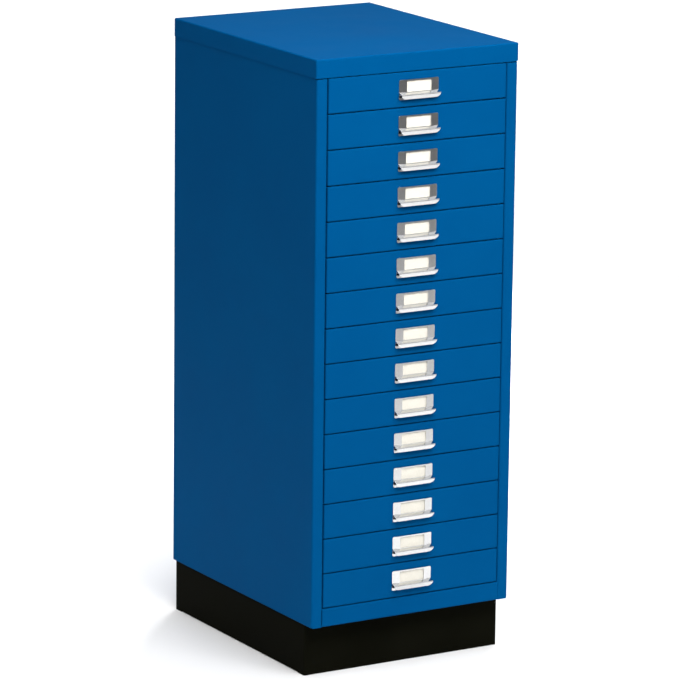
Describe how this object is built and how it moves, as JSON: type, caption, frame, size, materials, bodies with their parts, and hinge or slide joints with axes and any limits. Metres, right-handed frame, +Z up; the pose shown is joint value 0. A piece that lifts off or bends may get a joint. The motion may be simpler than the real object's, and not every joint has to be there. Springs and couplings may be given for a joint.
{
  "type": "drawer cabinet",
  "caption": "Tall blue painted steel cabinet with a stack of shallow sliding drawers, each with a plated label-holder pull and a blank card, on a recessed black plinth.",
  "frame": {"origin": "on the floor under the middle of the cabinet, pulls included", "axes": "+Z up, front with the drawers towards -Y, +X to the right of a person facing it"},
  "size_m": [0.349, 0.441, 0.94],
  "materials": {
    "blue_paint": "satin, fine orange peel",
    "black_paint": "satin",
    "chrome": "polished",
    "card": "matte",
    "zinc": "zinc plated"
  },
  "bodies": {
    "cabinet": {"top_cap": "blue_paint", "left_side_panel": "blue_paint", "right_side_panel": "blue_paint", "back_panel": "blue_paint", "base_panel": "blue_paint", "bottom_front_rail": "blue_paint", "left_runner_posts": "zinc", "right_runner_posts": "zinc", "left_drawer_runners": "zinc", "right_drawer_runners": "zinc", "plinth_front": "black_paint", "plinth_rear": "black_paint", "plinth_left": "black_paint", "plinth_right": "black_paint", "plinth_fixings": "zinc"},
    "drawer_01": {"drawer_01_box": "blue_paint", "drawer_01_pull": "chrome", "drawer_01_label": "card"},
    "drawer_02": {"drawer_02_box": "blue_paint", "drawer_02_pull": "chrome", "drawer_02_label": "card"},
    "drawer_03": {"drawer_03_box": "blue_paint", "drawer_03_pull": "chrome", "drawer_03_label": "card"},
    "drawer_04": {"drawer_04_box": "blue_paint", "drawer_04_pull": "chrome", "drawer_04_label": "card"},
    "drawer_05": {"drawer_05_box": "blue_paint", "drawer_05_pull": "chrome", "drawer_05_label": "card"},
    "drawer_06": {"drawer_06_box": "blue_paint", "drawer_06_pull": "chrome", "drawer_06_label": "card"},
    "drawer_07": {"drawer_07_box": "blue_paint", "drawer_07_pull": "chrome", "drawer_07_label": "card"},
    "drawer_08": {"drawer_08_box": "blue_paint", "drawer_08_pull": "chrome", "drawer_08_label": "card"},
    "drawer_09": {"drawer_09_box": "blue_paint", "drawer_09_pull": "chrome", "drawer_09_label": "card"},
    "drawer_10": {"drawer_10_box": "blue_paint", "drawer_10_pull": "chrome", "drawer_10_label": "card"},
    "drawer_11": {"drawer_11_box": "blue_paint", "drawer_11_pull": "chrome", "drawer_11_label": "card"},
    "drawer_12": {"drawer_12_box": "blue_paint", "drawer_12_pull": "chrome", "drawer_12_label": "card"},
    "drawer_13": {"drawer_13_box": "blue_paint", "drawer_13_pull": "chrome", "drawer_13_label": "card"},
    "drawer_14": {"drawer_14_box": "blue_paint", "drawer_14_pull": "chrome", "drawer_14_label": "card"},
    "drawer_15": {"drawer_15_box": "blue_paint", "drawer_15_pull": "chrome", "drawer_15_label": "card"}
  },
  "joints": [
    {"name": "drawer_01_slide", "type": "slide", "parent": "cabinet", "child": "drawer_01", "axis": [0, -1, 0], "range_m": [0, 0.3]},
    {"name": "drawer_02_slide", "type": "slide", "parent": "cabinet", "child": "drawer_02", "axis": [0, -1, 0], "range_m": [0, 0.3]},
    {"name": "drawer_03_slide", "type": "slide", "parent": "cabinet", "child": "drawer_03", "axis": [0, -1, 0], "range_m": [0, 0.3]},
    {"name": "drawer_04_slide", "type": "slide", "parent": "cabinet", "child": "drawer_04", "axis": [0, -1, 0], "range_m": [0, 0.3]},
    {"name": "drawer_05_slide", "type": "slide", "parent": "cabinet", "child": "drawer_05", "axis": [0, -1, 0], "range_m": [0, 0.3]},
    {"name": "drawer_06_slide", "type": "slide", "parent": "cabinet", "child": "drawer_06", "axis": [0, -1, 0], "range_m": [0, 0.3]},
    {"name": "drawer_07_slide", "type": "slide", "parent": "cabinet", "child": "drawer_07", "axis": [0, -1, 0], "range_m": [0, 0.3]},
    {"name": "drawer_08_slide", "type": "slide", "parent": "cabinet", "child": "drawer_08", "axis": [0, -1, 0], "range_m": [0, 0.3]},
    {"name": "drawer_09_slide", "type": "slide", "parent": "cabinet", "child": "drawer_09", "axis": [0, -1, 0], "range_m": [0, 0.3]},
    {"name": "drawer_10_slide", "type": "slide", "parent": "cabinet", "child": "drawer_10", "axis": [0, -1, 0], "range_m": [0, 0.3]},
    {"name": "drawer_11_slide", "type": "slide", "parent": "cabinet", "child": "drawer_11", "axis": [0, -1, 0], "range_m": [0, 0.3]},
    {"name": "drawer_12_slide", "type": "slide", "parent": "cabinet", "child": "drawer_12", "axis": [0, -1, 0], "range_m": [0, 0.3]},
    {"name": "drawer_13_slide", "type": "slide", "parent": "cabinet", "child": "drawer_13", "axis": [0, -1, 0], "range_m": [0, 0.3]},
    {"name": "drawer_14_slide", "type": "slide", "parent": "cabinet", "child": "drawer_14", "axis": [0, -1, 0], "range_m": [0, 0.3]},
    {"name": "drawer_15_slide", "type": "slide", "parent": "cabinet", "child": "drawer_15", "axis": [0, -1, 0], "range_m": [0, 0.3]}
  ]
}
